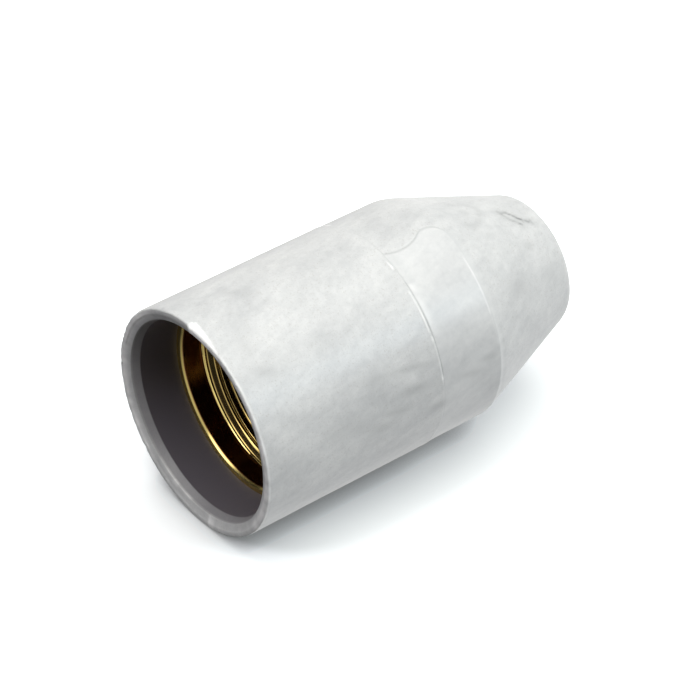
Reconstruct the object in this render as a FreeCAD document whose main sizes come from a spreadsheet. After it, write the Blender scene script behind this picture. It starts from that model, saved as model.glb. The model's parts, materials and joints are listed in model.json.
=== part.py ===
import FreeCAD, Part
import math
import os
import Sketcher

# Shield cap of a hand plasma torch: a moulded grey cup around a threaded brass insert.
# It stands on its open rim. The axis is Z, the rim lies on z = 0 and the nose points up.
# The slide of the mould opens towards +X, and its shut-off line is the stepped window.

DIMENSIONS = {
    # The thread that takes the torch head, and the insert around it
    "thread_diameter": (24.0, "major diameter of the internal thread"),
    "thread_pitch": (1.5, "pitch of the internal thread"),
    "counterbore_clearance": (0.1, "radial gap between counterbore and thread crest"),
    "counterbore_depth": (3.0, "plain bore ahead of the thread"),
    "insert_chamfer": (0.35, "bright chamfer at the insert's mouth"),
    "insert_wall": (1.6, "brass between thread root and collar"),
    "insert_length": (14.2, "insert from face to face"),
    "groove_width": (2.3, "retention groove, along the axis"),
    "groove_depth": (0.5, "retention groove, from the collar inwards"),
    "notch_depth": (0.45, "anti-rotation notch, cut to a right-angled vee"),
    # The moulded cup: open skirt
    "skirt_wall": (2.0, "wall outside the skirt bore, at the rim"),
    "collar_overlap": (0.6, "moulding that laps over the collars, radially"),
    "skirt_depth": (7.1, "rim to the insert's face"),
    "mouth_flare": (0.5, "mouth wider than the skirt bore, radially"),
    "mouth_flare_length": (1.6, "length of the tapered mouth"),
    "mouth_edge_break": (0.4, "broken inner edge of the rim"),
    "rim_edge_break": (0.2, "broken outer edge of the rim"),
    # The moulded cup: outside
    "draft_angle": (0.4, "draft of the skirt, in degrees"),
    "parting_height": (26.8, "rim to the parting line"),
    "parting_step": (0.04, "step down at the parting line"),
    "window_height": (8.95, "parting line to the shoulder, which the window spans"),
    "overall_length": (52.4, "rim to the front face"),
    "nose_land": (1.0, "flat ring of the front face"),
    "nose_round": (2.3, "rounded corner of the nose"),
    # The window that the mould's slide leaves between parting line and shoulder
    "window_step": (0.06, "window surface below the band"),
    "window_offset": (1.77, "outermost reach of the shut-off line past the middle plane"),
    "window_swing": (1.43, "swing of the S-shaped shut-off line"),
    # The moulded cup: nozzle chamber
    "chamber_shelf": (3.0, "shelf behind the insert, radially"),
    "chamber_past_shoulder": (2.6, "plain chamber beyond the shoulder"),
    "front_wall": (3.4, "front wall around the orifice"),
    "seat_width": (0.9, "ledge that the nozzle seats on"),
    "orifice_diameter": (11.0, "front orifice for the nozzle tip"),
    "orifice_break": (0.3, "chamfer of the orifice"),
}
NOTCH_COUNT = 12
SHEET = "dims"

# The S of the window follows its height: corner radius, and centre of the lower arc above its foot
WINDOW_CORNER_SHARE = 0.235
WINDOW_FOOT_SHARE = 0.27

# Metric internal thread: the wall stands inside the major radius by this share of the pitch.
THREAD_WALL_SHARE = 0.5413

# Expressions that several profiles share
MAJOR_RADIUS = "(dims.thread_diameter / 2)"
MINOR_RADIUS = f"({MAJOR_RADIUS} - {THREAD_WALL_SHARE} * dims.thread_pitch)"
COUNTERBORE_RADIUS = f"({MAJOR_RADIUS} + dims.counterbore_clearance)"
COLLAR_RADIUS = f"({MAJOR_RADIUS} + dims.insert_wall)"
GROOVE_RADIUS = f"({COLLAR_RADIUS} - dims.groove_depth)"
SKIRT_RADIUS = f"({COLLAR_RADIUS} - dims.collar_overlap)"
RIM_RADIUS = f"({SKIRT_RADIUS} + dims.skirt_wall)"
CHAMBER_RADIUS = f"({COLLAR_RADIUS} - dims.chamber_shelf)"
ORIFICE_RADIUS = "(dims.orifice_diameter / 2)"
INSERT_TOP = "(dims.skirt_depth + dims.insert_length)"
SEAT_HEIGHT = "(dims.overall_length - dims.front_wall)"
CLEAR_OF_RIM = f"({RIM_RADIUS} + 1)"
SHOULDER_HEIGHT = "(dims.parting_height + dims.window_height)"
WINDOW_CORNER = f"({WINDOW_CORNER_SHARE} * dims.window_height)"
WINDOW_FOOT = f"({WINDOW_FOOT_SHARE} * dims.window_height)"


def drafted(height):
    """Outer radius of the skirt at a height above the rim."""
    return f"({RIM_RADIUS} - ({height}) * tan(dims.draft_angle))"


def band(height):
    """Outer radius between parting line and shoulder, one parting step lower."""
    return f"({drafted(height)} - dims.parting_step)"


def window(height):
    """Outer radius inside the slide's window."""
    return f"({band(height)} - dims.window_step)"


def make_sheet(doc):
    sheet = doc.addObject("Spreadsheet::Sheet", SHEET)
    for row, (alias, (value, note)) in enumerate(DIMENSIONS.items(), start=1):
        sheet.set(f"A{row}", note)
        sheet.set(f"B{row}", str(value))
        sheet.setAlias(f"B{row}", alias)
    doc.recompute()
    return sheet


def new_body(doc, label):
    body = doc.addObject("PartDesign::Body", label)
    body.Label = label
    return body


def new_sketch(body, name, role):
    """An empty sketch on one of the body's own origin planes."""
    plane = next(item for item in body.Origin.OriginFeatures if item.Role == role)
    sketch = body.newObject("Sketcher::SketchObject", name)
    sketch.AttachmentSupport = [(plane, "")]
    sketch.MapMode = "FlatFace"
    return sketch


def place_point(sketch, geometry, end, x_expression, y_expression):
    """Fix a point of the sketch at two expressions, measured from the origin."""
    for kind, expression in (("DistanceX", x_expression), ("DistanceY", y_expression)):
        value = float(sketch.evalExpression(expression))
        index = sketch.addConstraint(Sketcher.Constraint(kind, -1, 1, geometry, end, value))
        sketch.setExpression(f"Constraints[{index}]", expression)


def evaluate(sketch, expression):
    return float(sketch.evalExpression(expression))


def polygon(body, name, points, role="XZ_Plane"):
    """A closed polygon whose corners are pairs of expressions."""
    sketch = new_sketch(body, name, role)
    corners = [FreeCAD.Vector(evaluate(sketch, x), evaluate(sketch, y), 0) for x, y in points]
    lines = range(len(points))
    for start, end in zip(corners, corners[1:] + corners[:1]):
        sketch.addGeometry(Part.LineSegment(start, end), False)
    for line in lines:
        following = (line + 1) % len(points)
        sketch.addConstraint(Sketcher.Constraint("Coincident", line, 2, following, 1))
    for line, (x, y) in zip(lines, points):
        place_point(sketch, line, 1, x, y)
    return sketch


def revolve(body, name, sketch, kind="Revolution"):
    """Turn a sketch about Z, as new material or as a cut."""
    feature = body.newObject(f"PartDesign::{kind}", name)
    feature.Profile = sketch
    feature.ReferenceAxis = (sketch, ["V_Axis"])
    feature.Angle = 360.0
    sketch.Document.recompute()
    return feature


def circles_at(shape, height):
    """Names of the full circular edges that lie at a height."""
    names = []
    for number, edge in enumerate(shape.Edges, start=1):
        flat = abs(edge.BoundBox.ZMin - height) < 1e-4 and abs(edge.BoundBox.ZMax - height) < 1e-4
        if flat and isinstance(edge.Curve, Part.Circle):
            names.append(f"Edge{number}")
    return names


def outer_section(body):
    """Half section of the cup's outside, with the nose corner as a tangent arc."""
    sketch = new_sketch(body, "outer_section", "XZ_Plane")
    corner_points = [
        ("0", "0"),
        (RIM_RADIUS, "0"),
        (drafted("dims.parting_height"), "dims.parting_height"),
        (band("dims.parting_height"), "dims.parting_height"),
        (band(SHOULDER_HEIGHT), SHOULDER_HEIGHT),
    ]
    corners = [FreeCAD.Vector(evaluate(sketch, x), evaluate(sketch, y), 0) for x, y in corner_points]
    top = evaluate(sketch, "dims.overall_length")
    radius = evaluate(sketch, "dims.nose_round")
    face_radius = evaluate(sketch, f"{ORIFICE_RADIUS} + dims.orifice_break + dims.nose_land")
    centre = FreeCAD.Vector(face_radius, top - radius, 0)

    # The cone leaves the shoulder and touches the arc: its direction follows from both.
    shoulder = corners[-1]
    reach = shoulder.sub(centre)
    start_angle = math.atan2(reach.y, reach.x) + math.acos(radius / reach.Length)
    touch = centre + FreeCAD.Vector(math.cos(start_angle), math.sin(start_angle), 0) * radius

    path = corners + [touch]
    for start, end in zip(path, path[1:]):
        sketch.addGeometry(Part.LineSegment(start, end), False)
    cone = len(path) - 2
    circle = Part.Circle(centre, FreeCAD.Vector(0, 0, 1), radius)
    arc = sketch.addGeometry(Part.ArcOfCircle(circle, start_angle, math.pi / 2), False)
    face_edge = FreeCAD.Vector(face_radius, top, 0)
    axis_top = FreeCAD.Vector(0, top, 0)
    face = sketch.addGeometry(Part.LineSegment(face_edge, axis_top), False)
    axis = sketch.addGeometry(Part.LineSegment(axis_top, corners[0]), False)

    for line in range(cone):
        sketch.addConstraint(Sketcher.Constraint("Coincident", line, 2, line + 1, 1))
    sketch.addConstraint(Sketcher.Constraint("Tangent", cone, 2, arc, 1))
    sketch.addConstraint(Sketcher.Constraint("Tangent", arc, 2, face, 1))
    sketch.addConstraint(Sketcher.Constraint("Coincident", face, 2, axis, 1))
    sketch.addConstraint(Sketcher.Constraint("Coincident", axis, 2, 0, 1))
    for line, (x, y) in enumerate(corner_points):
        place_point(sketch, line, 1, x, y)
    place_point(sketch, axis, 1, "0", "dims.overall_length")
    centre_x = sketch.addConstraint(Sketcher.Constraint("DistanceX", -1, 1, arc, 3, face_radius))
    sketch.setExpression(
        f"Constraints[{centre_x}]", f"{ORIFICE_RADIUS} + dims.orifice_break + dims.nose_land"
    )
    rounding = sketch.addConstraint(Sketcher.Constraint("Radius", arc, radius))
    sketch.setExpression(f"Constraints[{rounding}]", "dims.nose_round")
    return sketch


def make_shield_form(doc):
    """The moulded cup before the insert and the slide's window are taken out of it."""
    body = new_body(doc, "shield_form")
    outside = revolve(body, "outside", outer_section(body))

    rim = body.newObject("PartDesign::Chamfer", "rim_edge")
    rim.Base = (outside, circles_at(outside.Shape, 0.0))
    rim.setExpression("Size", "dims.rim_edge_break")
    doc.recompute()

    mouth = f"({SKIRT_RADIUS} + dims.mouth_flare)"
    skirt = polygon(body, "skirt_section", [
        ("0", "0"),
        (f"{mouth} + dims.mouth_edge_break", "0"),
        (mouth, "dims.mouth_edge_break"),
        (SKIRT_RADIUS, "dims.mouth_flare_length"),
        (SKIRT_RADIUS, "dims.skirt_depth"),
        ("0", "dims.skirt_depth"),
    ])
    revolve(body, "skirt_bore", skirt, "Groove")

    chamber = polygon(body, "chamber_section", [
        ("0", INSERT_TOP),
        (CHAMBER_RADIUS, INSERT_TOP),
        (CHAMBER_RADIUS, f"{SHOULDER_HEIGHT} + dims.chamber_past_shoulder"),
        (f"{ORIFICE_RADIUS} + dims.seat_width", SEAT_HEIGHT),
        (ORIFICE_RADIUS, SEAT_HEIGHT),
        (ORIFICE_RADIUS, "dims.overall_length - dims.orifice_break"),
        (f"{ORIFICE_RADIUS} + dims.orifice_break", "dims.overall_length"),
        ("0", "dims.overall_length"),
    ])
    revolve(body, "nozzle_chamber", chamber, "Groove")
    return body


def make_insert_blank(doc):
    """Outer form of the insert, solid: the moulding fills its grooves and notches."""
    body = new_body(doc, "insert_blank")
    blank = polygon(body, "blank_section", [
        ("0", "dims.skirt_depth"),
        (COLLAR_RADIUS, "dims.skirt_depth"),
        (COLLAR_RADIUS, INSERT_TOP),
        ("0", INSERT_TOP),
    ])
    revolve(body, "turned_blank", blank)

    # Three equal collars with two grooves between them
    collar = "((dims.insert_length - 2 * dims.groove_width) / 3)"
    foot = f"(dims.skirt_depth + {collar})"
    groove = polygon(body, "groove_section", [
        (GROOVE_RADIUS, foot),
        (CLEAR_OF_RIM, foot),
        (CLEAR_OF_RIM, f"{foot} + dims.groove_width"),
        (GROOVE_RADIUS, f"{foot} + dims.groove_width"),
    ])
    retention = revolve(body, "retention_groove", groove, "Groove")
    rows = body.newObject("PartDesign::LinearPattern", "retention_grooves")
    rows.Originals = [retention]
    rows.Direction = (groove, ["V_Axis"])
    rows.Occurrences = 2
    rows.setExpression("Length", f"{collar} + dims.groove_width")
    body.Tip = rows
    doc.recompute()

    # The vee runs on past the collar, so that its mouth is open all along.
    mark = polygon(body, "notch_mark", [
        (f"{COLLAR_RADIUS} - dims.notch_depth", "0"),
        (f"{COLLAR_RADIUS} + dims.notch_depth", "2 * dims.notch_depth"),
        (f"{COLLAR_RADIUS} + dims.notch_depth", "-2 * dims.notch_depth"),
    ], "XY_Plane")
    notch = body.newObject("PartDesign::Pocket", "notch")
    notch.Profile = mark
    notch.Type = "ThroughAll"
    notch.Reversed = True
    doc.recompute()
    notches = body.newObject("PartDesign::PolarPattern", "notches")
    notches.Originals = [notch]
    notches.Axis = (mark, ["N_Axis"])
    notches.Angle = 360.0
    notches.Occurrences = NOTCH_COUNT
    body.Tip = notches
    doc.recompute()
    return body


def make_insert_bore(doc):
    """What the lathe takes out of the insert: chamfer, counterbore, thread entry, thread bore."""
    body = new_body(doc, "insert_bore")
    thread_start = "(dims.skirt_depth + dims.counterbore_depth)"
    section = polygon(body, "bore_section", [
        ("0", "dims.skirt_depth"),
        (f"{COUNTERBORE_RADIUS} + dims.insert_chamfer", "dims.skirt_depth"),
        (COUNTERBORE_RADIUS, "dims.skirt_depth + dims.insert_chamfer"),
        (COUNTERBORE_RADIUS, thread_start),
        (MINOR_RADIUS, f"{thread_start} + {COUNTERBORE_RADIUS} - {MINOR_RADIUS}"),
        (MINOR_RADIUS, INSERT_TOP),
        ("0", INSERT_TOP),
    ])
    revolve(body, "bored_out", section)
    return body


def shut_off_sketch(body):
    """Side view of the window: its near edge is the S of two tangent arcs."""
    sketch = new_sketch(body, "window_outline", "XZ_Plane")
    parting = evaluate(sketch, "dims.parting_height")
    shoulder = evaluate(sketch, SHOULDER_HEIGHT)
    outside = evaluate(sketch, CLEAR_OF_RIM)
    corner = evaluate(sketch, WINDOW_CORNER)
    rise = f"(dims.window_height - {WINDOW_CORNER} - {WINDOW_FOOT})"
    both_radii = f"((dims.window_swing ^ 2 + {rise} ^ 2) / (2 * dims.window_swing))"
    sweep = evaluate(sketch, f"{both_radii} - {WINDOW_CORNER}")
    foot = evaluate(sketch, WINDOW_FOOT)
    corner_x = evaluate(sketch, f"dims.window_offset + {WINDOW_CORNER}")
    sweep_x = evaluate(sketch, "dims.window_offset + dims.window_swing") - sweep

    upper = FreeCAD.Vector(corner_x, shoulder - corner, 0)
    lower = FreeCAD.Vector(sweep_x, parting + foot, 0)
    join_angle = math.atan2(upper.y - lower.y, upper.x - lower.x)
    foot_angle = -math.asin(foot / sweep)
    foot_point = FreeCAD.Vector(sweep_x + sweep * math.cos(foot_angle), parting, 0)
    top_point = FreeCAD.Vector(corner_x, shoulder, 0)
    far_foot = FreeCAD.Vector(outside, parting, 0)
    far_top = FreeCAD.Vector(outside, shoulder, 0)
    normal = FreeCAD.Vector(0, 0, 1)

    bottom_line = sketch.addGeometry(Part.LineSegment(foot_point, far_foot), False)
    far_line = sketch.addGeometry(Part.LineSegment(far_foot, far_top), False)
    top_line = sketch.addGeometry(Part.LineSegment(far_top, top_point), False)
    corner_arc = sketch.addGeometry(
        Part.ArcOfCircle(Part.Circle(upper, normal, corner), math.pi / 2, join_angle + math.pi), False
    )
    sweep_arc = sketch.addGeometry(
        Part.ArcOfCircle(Part.Circle(lower, normal, sweep), foot_angle, join_angle), False
    )
    for constraint in (
        Sketcher.Constraint("Coincident", bottom_line, 2, far_line, 1),
        Sketcher.Constraint("Coincident", far_line, 2, top_line, 1),
        Sketcher.Constraint("Tangent", top_line, 2, corner_arc, 1),
        Sketcher.Constraint("Tangent", corner_arc, 2, sweep_arc, 2),
        Sketcher.Constraint("Coincident", sweep_arc, 1, bottom_line, 1),
        Sketcher.Constraint("Horizontal", bottom_line),
        Sketcher.Constraint("Horizontal", top_line),
    ):
        sketch.addConstraint(constraint)
    place_point(sketch, far_line, 1, CLEAR_OF_RIM, "dims.parting_height")
    place_point(sketch, far_line, 2, CLEAR_OF_RIM, SHOULDER_HEIGHT)
    for kind, geometry, value, expression in (
        ("DistanceX", corner_arc, corner_x, f"dims.window_offset + {WINDOW_CORNER}"),
        ("DistanceY", sweep_arc, parting + foot, f"dims.parting_height + {WINDOW_FOOT}"),
    ):
        index = sketch.addConstraint(Sketcher.Constraint(kind, -1, 1, geometry, 3, value))
        sketch.setExpression(f"Constraints[{index}]", expression)
    for geometry, value, expression in (
        (corner_arc, corner, WINDOW_CORNER),
        (sweep_arc, sweep, f"{both_radii} - {WINDOW_CORNER}"),
    ):
        index = sketch.addConstraint(Sketcher.Constraint("Radius", geometry, value))
        sketch.setExpression(f"Constraints[{index}]", expression)
    return sketch


def make_window_relief(doc):
    """The thin skin between the band and the slide's slightly deeper face."""
    body = new_body(doc, "window_relief")
    slab = body.newObject("PartDesign::Pad", "slide_slab")
    slab.Profile = shut_off_sketch(body)
    slab.setExpression("Length", f"2 * {CLEAR_OF_RIM}")
    slab.SideType = "Symmetric"
    doc.recompute()
    core = polygon(body, "slide_face_section", [
        ("0", "dims.parting_height - 1"),
        (window("dims.parting_height - 1"), "dims.parting_height - 1"),
        (window(f"{SHOULDER_HEIGHT} + 1"), f"{SHOULDER_HEIGHT} + 1"),
        ("0", f"{SHOULDER_HEIGHT} + 1"),
    ])
    revolve(body, "slide_face", core, "Groove")
    return body


def cut(doc, label, base, tool):
    result = doc.addObject("Part::Cut", label)
    result.Label = label
    result.Base = base
    result.Tool = tool
    doc.recompute()
    return result


def check(doc, parts):
    for item in doc.Objects:
        if "Invalid" in item.State or "Error" in item.State:
            raise RuntimeError(f"{item.Label} did not build: {item.State}")
    for part in parts:
        shape = part.Shape
        if shape.isNull() or not shape.isValid() or len(shape.Solids) != 1:
            raise RuntimeError(f"{part.Label} is not one valid solid")


def main():
    doc = FreeCAD.newDocument("shield_cap")
    make_sheet(doc)
    form = make_shield_form(doc)
    blank = make_insert_blank(doc)
    moulded = cut(doc, "moulded_around_insert", form, blank)
    shield = cut(doc, "shield_body", moulded, make_window_relief(doc))
    insert = cut(doc, "brass_insert", blank, make_insert_bore(doc))
    parts = [shield, insert]
    doc.recompute()
    check(doc, parts)
    os.makedirs("parts", exist_ok=True)
    for part in parts:
        part.Shape.exportStep(f"parts/{part.Label}.step")
        box = part.Shape.BoundBox
        print(part.Label, round(part.Shape.Volume, 1), "mm3", box)


main()
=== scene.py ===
import json
import math

import bmesh
import bpy
from mathutils import Matrix, Vector, noise


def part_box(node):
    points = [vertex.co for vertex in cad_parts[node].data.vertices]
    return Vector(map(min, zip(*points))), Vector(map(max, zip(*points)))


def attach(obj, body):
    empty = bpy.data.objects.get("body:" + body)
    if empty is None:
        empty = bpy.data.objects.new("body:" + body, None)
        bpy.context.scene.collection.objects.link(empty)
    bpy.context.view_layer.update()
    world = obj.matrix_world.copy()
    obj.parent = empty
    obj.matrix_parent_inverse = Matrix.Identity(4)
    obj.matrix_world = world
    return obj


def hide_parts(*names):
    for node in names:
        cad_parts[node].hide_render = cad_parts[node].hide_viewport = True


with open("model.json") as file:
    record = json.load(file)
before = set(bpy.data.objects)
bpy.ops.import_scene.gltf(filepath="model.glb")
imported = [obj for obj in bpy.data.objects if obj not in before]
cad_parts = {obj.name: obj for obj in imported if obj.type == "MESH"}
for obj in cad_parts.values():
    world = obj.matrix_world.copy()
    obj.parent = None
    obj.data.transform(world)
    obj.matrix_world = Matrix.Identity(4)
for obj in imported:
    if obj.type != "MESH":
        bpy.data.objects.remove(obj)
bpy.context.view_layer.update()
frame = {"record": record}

# The frame's axis is Z, with the rim on z = 0. In the photo the cap lies on a table, and the
# table's side of the cap is +Y. Angles are in degrees around the axis, from -Y towards +X.
# Lengths in this script are millimetres until they become mesh points.
MM = 0.001

# Sizes that the frame gives
BODY_LOW, BODY_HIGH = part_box("shield_body")
INSERT_LOW, INSERT_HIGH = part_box("brass_insert")
MOUNTS = {mount["name"]: mount["dims"] for mount in frame["record"]["mounts"]}
OVERALL_LENGTH = BODY_HIGH[2] / MM
RIM_RADIUS = (BODY_HIGH[0] - BODY_LOW[0]) / 2 / MM
INSERT_FOOT = INSERT_LOW[2] / MM
INSERT_TOP = INSERT_HIGH[2] / MM
SKIRT_RADIUS = MOUNTS["skirt_bore"]["r_mm"]
COUNTERBORE_RADIUS = MOUNTS["insert_counterbore"]["r_mm"]
THREAD_MINOR_RADIUS = MOUNTS["insert_thread"]["r_mm"]
CHAMBER_RADIUS = MOUNTS["nozzle_chamber"]["r_mm"]
ORIFICE_RADIUS = MOUNTS["nozzle_orifice"]["r_mm"]

# The cup's other sizes, as in the part's source. The rim's land, RIM_LAND wide and sloping inwards
# to MOUTH_EDGE_DEPTH, is the scene's own.
DRAFT_ANGLE = 0.4
PARTING_HEIGHT = 26.8
PARTING_STEP = 0.04
WINDOW_HEIGHT = 8.95
SHOULDER_HEIGHT = PARTING_HEIGHT + WINDOW_HEIGHT
WINDOW_STEP = 0.06
NOSE_LAND = 1.0
NOSE_ROUND = 2.3
ORIFICE_BREAK = 0.3
MOUTH_FLARE = 0.5
MOUTH_FLARE_LENGTH = 1.6
MOUTH_EDGE_DEPTH = 0.4
RIM_LAND = 0.6
RIM_EDGE_BREAK = 0.2
CHAMBER_PAST_SHOULDER = 2.6
FRONT_WALL = 3.4
SEAT_WIDTH = 0.9

# The insert's other sizes, as in the part's source, but with a smaller chamfer at its mouth
THREAD_MAJOR_RADIUS = 12.0
THREAD_PITCH = 1.5
COUNTERBORE_DEPTH = 3.0
INSERT_CHAMFER = 0.28
COLLAR_RADIUS = 13.6
GROOVE_WIDTH = 2.3
GROOVE_DEPTH = 0.5
NOTCH_DEPTH = 0.45
NOTCH_COUNT = 12

# The S of the slide's window, seen from the side: two tangent arcs
WINDOW_OFFSET = 1.77
WINDOW_SWING = 1.43
WINDOW_CORNER_SHARE = 0.235
WINDOW_FOOT_SHARE = 0.27
WINDOW_CORNER = WINDOW_CORNER_SHARE * WINDOW_HEIGHT
WINDOW_FOOT = WINDOW_FOOT_SHARE * WINDOW_HEIGHT

# The lathe meshes: their columns, the spacing of rows that nothing shows, the distance at which
# points are welded, and the tolerance when a row's size is compared with a named one
BODY_COLUMNS = 360
INSERT_COLUMNS = 240
HIDDEN_SPACING = 4.0
WELD_DISTANCE = 0.0004
TOLERANCE = 0.01


def smooth(edge0, edge1, value):
    """0 up to edge0, 1 from edge1, with a soft rise between them."""
    t = min(1.0, max(0.0, (value - edge0) / (edge1 - edge0)))
    return t * t * (3 - 2 * t)


def around(angle, radius, height):
    """The point in millimetres at an angle, radius and height."""
    a = math.radians(angle)
    return Vector((radius * math.sin(a), -radius * math.cos(a), height))


def turn_between(angle, other):
    """The shorter way from one angle to the other, in degrees, with its sign."""
    return (angle - other + 180) % 360 - 180


def within(angle, start, end, before, past):
    """1 between two angles. At each end it fades out, from so many degrees before it to so many
    past it."""
    off = abs(turn_between(angle, (start + end) / 2))
    half = (end - start) / 2
    return 1 - smooth(half - before, half + past, off)


def ripple(angle, height, size, seed):
    """Smooth noise on the skin, about -1 to 1, whose lumps are that many millimetres wide."""
    return 1.6 * noise.noise(around(angle, RIM_RADIUS, height) / size + Vector((seed, 0, 0)))


def drafted(height):
    return RIM_RADIUS - height * math.tan(math.radians(DRAFT_ANGLE))


def nose_corner_radius():
    """Where the cone would meet the front face if the nose weren't rounded."""
    face_radius = ORIFICE_RADIUS + ORIFICE_BREAK + NOSE_LAND
    shoulder_radius = drafted(SHOULDER_HEIGHT) - PARTING_STEP
    reach = Vector((shoulder_radius - face_radius, SHOULDER_HEIGHT - (OVERALL_LENGTH - NOSE_ROUND)))
    start = math.atan2(reach.y, reach.x) + math.acos(NOSE_ROUND / reach.length)
    return face_radius + NOSE_ROUND * math.tan((math.pi / 2 - start) / 2)


def cone_radius(height):
    """Radius of the straight part of the cone."""
    foot = drafted(SHOULDER_HEIGHT) - PARTING_STEP
    share = (height - SHOULDER_HEIGHT) / (OVERALL_LENGTH - SHOULDER_HEIGHT)
    return foot + (nose_corner_radius() - foot) * share


def rounded_path(corners, closed):
    """Rows of (radius, height) along a path. A corner is (radius, height, rounding, spacing of
    the rows after it)."""
    rows = []
    count = len(corners)
    for index, (x, y, rounding, spacing) in enumerate(corners):
        here = Vector((x, y))
        last = Vector(corners[index - 1][:2])
        following = Vector(corners[(index + 1) % count][:2])
        inner = closed or 0 < index < count - 1
        leave = here
        if rounding and inner:
            back = (last - here).normalized()
            ahead = (following - here).normalized()
            half = math.acos(max(-1, min(1, back.dot(ahead)))) / 2
            cut = rounding / math.tan(half)
            centre = here + (back + ahead).normalized() * (rounding / math.sin(half))
            start = here + back * cut - centre
            turn = math.pi - 2 * half
            sense = 1 if back.x * ahead.y - back.y * ahead.x < 0 else -1
            steps = max(2, math.ceil(math.degrees(turn) / 15))
            for step in range(steps + 1):
                spin = Matrix.Rotation(sense * turn * step / steps, 2)
                rows.append(tuple(centre + spin @ start))
            leave = Vector(rows[-1])
        else:
            rows.append((x, y))
        if not closed and index == count - 1:
            break
        next_rounding = corners[(index + 1) % count][2]
        arrive = following
        if next_rounding and (closed or index + 1 < count - 1):
            after = Vector(corners[(index + 2) % count][:2])
            one = (here - following).normalized()
            two = (after - following).normalized()
            half = math.acos(max(-1, min(1, one.dot(two)))) / 2
            arrive = following + one * (next_rounding / math.tan(half))
        run = arrive - leave
        parts = max(1, round(run.length / spacing))
        rows.extend(tuple(leave + run * part / parts) for part in range(1, parts))
    return rows


# Shape of the window's edge

def window_edge_x(height):
    """How far past the middle plane the shut-off line lies at a height."""
    rise = WINDOW_HEIGHT - WINDOW_CORNER - WINDOW_FOOT
    both_radii = (WINDOW_SWING ** 2 + rise ** 2) / (2 * WINDOW_SWING)
    sweep = both_radii - WINDOW_CORNER
    upper = Vector((WINDOW_OFFSET + WINDOW_CORNER, SHOULDER_HEIGHT - WINDOW_CORNER))
    lower = Vector((WINDOW_OFFSET + WINDOW_SWING - sweep, PARTING_HEIGHT + WINDOW_FOOT))
    join = lower + (upper - lower).normalized() * sweep
    if height > join.y:
        return upper.x - math.sqrt(max(0, WINDOW_CORNER ** 2 - (height - upper.y) ** 2))
    return lower.x + math.sqrt(max(0, sweep ** 2 - (height - lower.y) ** 2))


# The columns of the lathe mesh lean over near the window, so that one of them lies on its edge.
EDGE_COLUMN = 10.0
EDGE_STEP_WIDTH = 0.25
EDGE_REACH = 32.0
EDGE_FADE = 7.0
WINDOW_FADE = 1.3


def lean(angle, height):
    """The angle of a column at a height."""
    inside = min(SHOULDER_HEIGHT - 0.02, max(PARTING_HEIGHT, height))
    beyond = abs(height - inside)
    share = 1 - smooth(0, EDGE_FADE, beyond)
    if share <= 0:
        return angle
    edge = math.degrees(math.asin(window_edge_x(inside) / drafted(inside)))
    shift = (edge - EDGE_COLUMN) * share
    near = turn_between(angle, EDGE_COLUMN)
    far = turn_between(angle, 180 - EDGE_COLUMN)
    angle += shift * (1 - smooth(0, EDGE_REACH, abs(near)))
    return angle - shift * (1 - smooth(0, EDGE_REACH, abs(far)))


def body_columns():
    """Base angles of the columns, with one more on both sides of each edge of the window."""
    angles = [360 * index / BODY_COLUMNS for index in range(BODY_COLUMNS)]
    for edge in (EDGE_COLUMN, 180 - EDGE_COLUMN):
        angles += [edge - EDGE_STEP_WIDTH, edge + EDGE_STEP_WIDTH]
    return sorted(angles)


def window_share(column, height):
    """0 outside the window, 1 inside, and between them right on its edge."""
    if not PARTING_HEIGHT < height < SHOULDER_HEIGHT + WINDOW_FADE:
        return 0.0
    inside = min(column - EDGE_COLUMN, 180 - EDGE_COLUMN - column) / EDGE_STEP_WIDTH
    across = min(1.0, max(0.0, (inside + 1) / 2))
    return across * (1 - smooth(SHOULDER_HEIGHT, SHOULDER_HEIGHT + WINDOW_FADE, height))


# What the tool, the flow and a few knocks leave on the skin, and the shade and highlights painted
# on it

FLARE_SHADE = 0.72
LAND_SHADE = 0.15
SHOULDER_BLEND = 1.2
SHOULDER_LOSS = 0.10
EDGE_GROOVE = 0.03
NICK_FROM = -3.0
NICK_TO = 23.0
NICK_HEIGHT = 1.2
NICK_SLOPE = 0.36


def nick_depth(angle, height):
    """Radial depth of the cut on the rim's outer edge."""
    along = turn_between(angle, NICK_FROM) / (NICK_TO - NICK_FROM)
    if not 0 <= along <= 1:
        return 0.0
    top = NICK_HEIGHT * min(1.0, along / 0.06) * (1 - along) ** 0.8
    return max(0.0, (top - height) * NICK_SLOPE)


# Pale lines, painted highlights and glints on the flash beads, the shoulder's edge and the rim's
# edges. Above the rim zone they are also raised a little: (height, half width, from angle, to
# angle, strength)
PALE_LINES = (
    (26.47, 0.14, 15, 20, 0.9),
    (26.50, 0.13, 33, 55, 0.9),
    (26.60, 0.18, 56.5, 59, 1.0),
    (26.62, 0.10, 60, 77, 0.42),
    (26.68, 0.18, 77, 79.5, 1.0),
    (26.50, 0.12, 112, 128, 0.6),
    (26.50, 0.12, 203, 231, 0.5),
    (26.52, 0.14, 262, 270, 0.8),
    (26.50, 0.20, 298, 330, 0.7),
    (0.10, 0.25, 165, 170, 1.0),
    (0.40, 0.16, 197, 202, 1.0),
    (0.42, 0.09, 186, 216, 0.45),
    (27.25, 0.45, 30, 57, 0.50),
    (35.50, 0.12, 30, 60, 0.55),
    (35.55, 0.10, 60, 76, 0.15),
    (35.55, 0.10, 118, 150, 0.4),
)
LINE_RISE = 0.05


def pale_line_at(angle, height):
    """How much of a pale line, a painted highlight, a place holds, 0 to 1."""
    most = 0.0
    for level, width, start, end, strength in PALE_LINES:
        off = abs(height - level)
        if off > 2.5 * width:
            continue
        ends = within(angle, start, end, 1, 1)
        uneven = 0.75 + 0.35 * ripple(angle, height, 1.2, 88)
        most = max(most, strength * ends * uneven * math.exp(-(off / width) ** 2))
    return min(1.0, most)
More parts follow.
